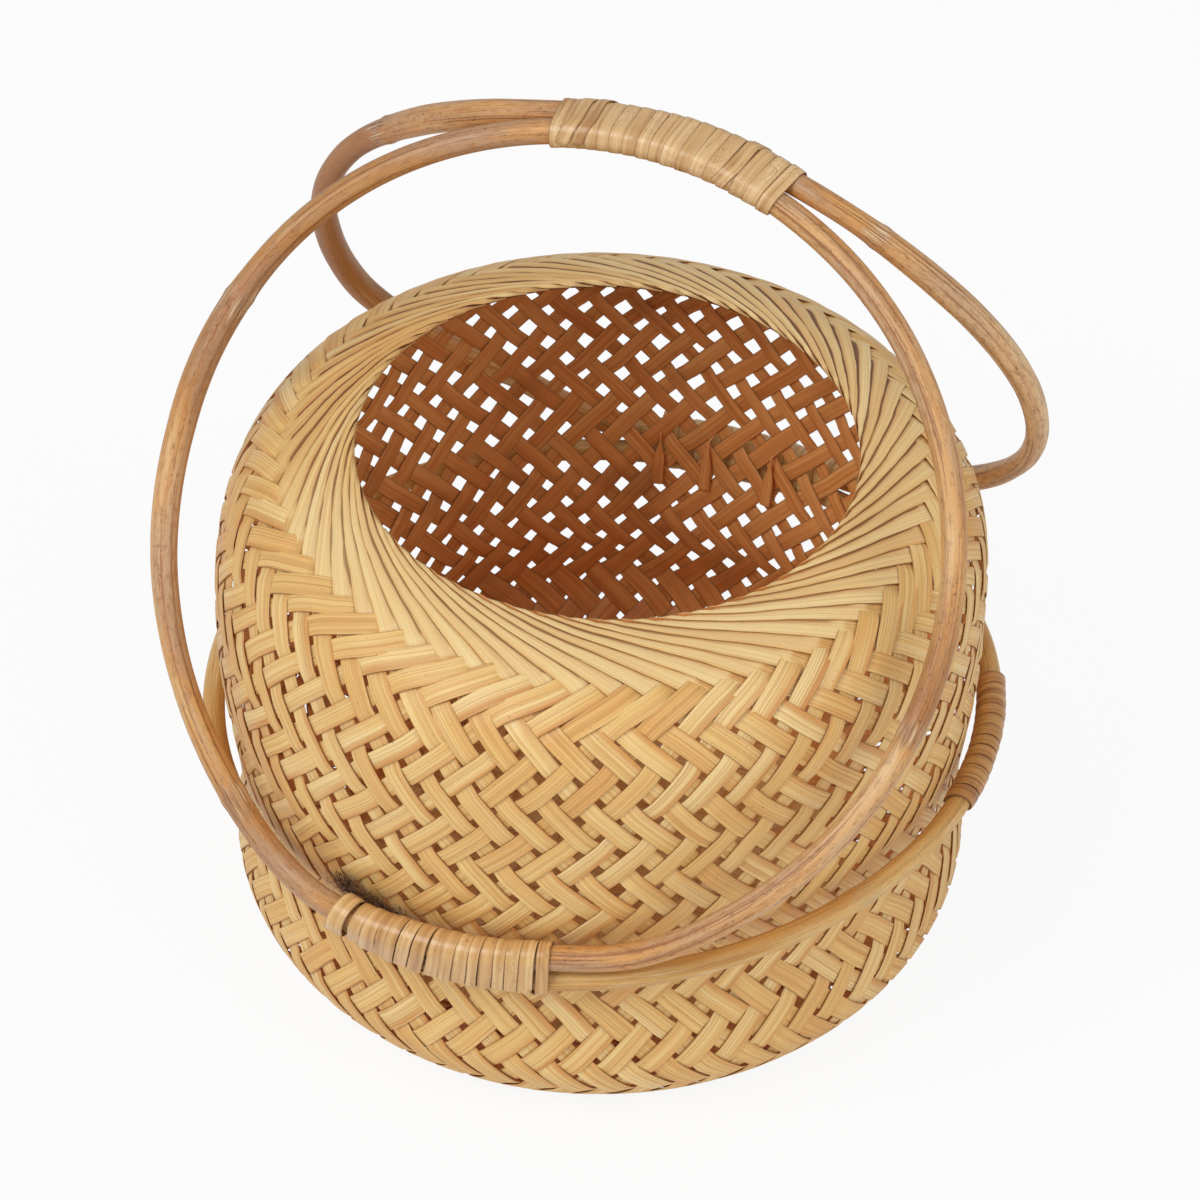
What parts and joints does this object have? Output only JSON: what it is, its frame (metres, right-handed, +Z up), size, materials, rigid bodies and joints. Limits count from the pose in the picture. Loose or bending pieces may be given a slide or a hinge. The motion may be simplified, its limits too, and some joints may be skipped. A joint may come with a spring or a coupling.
{
  "type": "bamboo basket",
  "caption": "Round twill-woven bamboo basket with a bulging wall, an inward swept rim round a wide mouth, and a tall carrying handle of rattan hoops tied together with split cane.",
  "frame": {"origin": "middle of the flat base, on the surface that the basket stands on", "axes": "+Z up; +X to the right along the grip; +Y to the back, away from the front binding"},
  "size_m": [0.3223, 0.3327, 0.3481],
  "materials": {
    "bamboo_strip": "dry split bamboo, satin",
    "olive_rattan": "smooth rattan cane with its skin",
    "tan_rattan": "smooth rattan cane with its skin, scuffed",
    "split_cane": "flat split cane, slightly glossy",
    "dark_fibre": "coarse dark plant fibre, matt"
  },
  "bodies": {
    "root": {"woven_wall": "bamboo_strip", "rim_fan": "bamboo_strip", "waist_hoop": "olive_rattan", "front_hoop": "tan_rattan", "rear_hoop": "tan_rattan", "grip_binding": "split_cane", "front_binding": "split_cane", "rear_binding": "split_cane", "lap_binding": "split_cane", "rear_tie_1": "split_cane", "rear_tie_2": "split_cane", "rear_tie_3": "split_cane", "fibre_cord": "dark_fibre"}
  },
  "joints": []
}
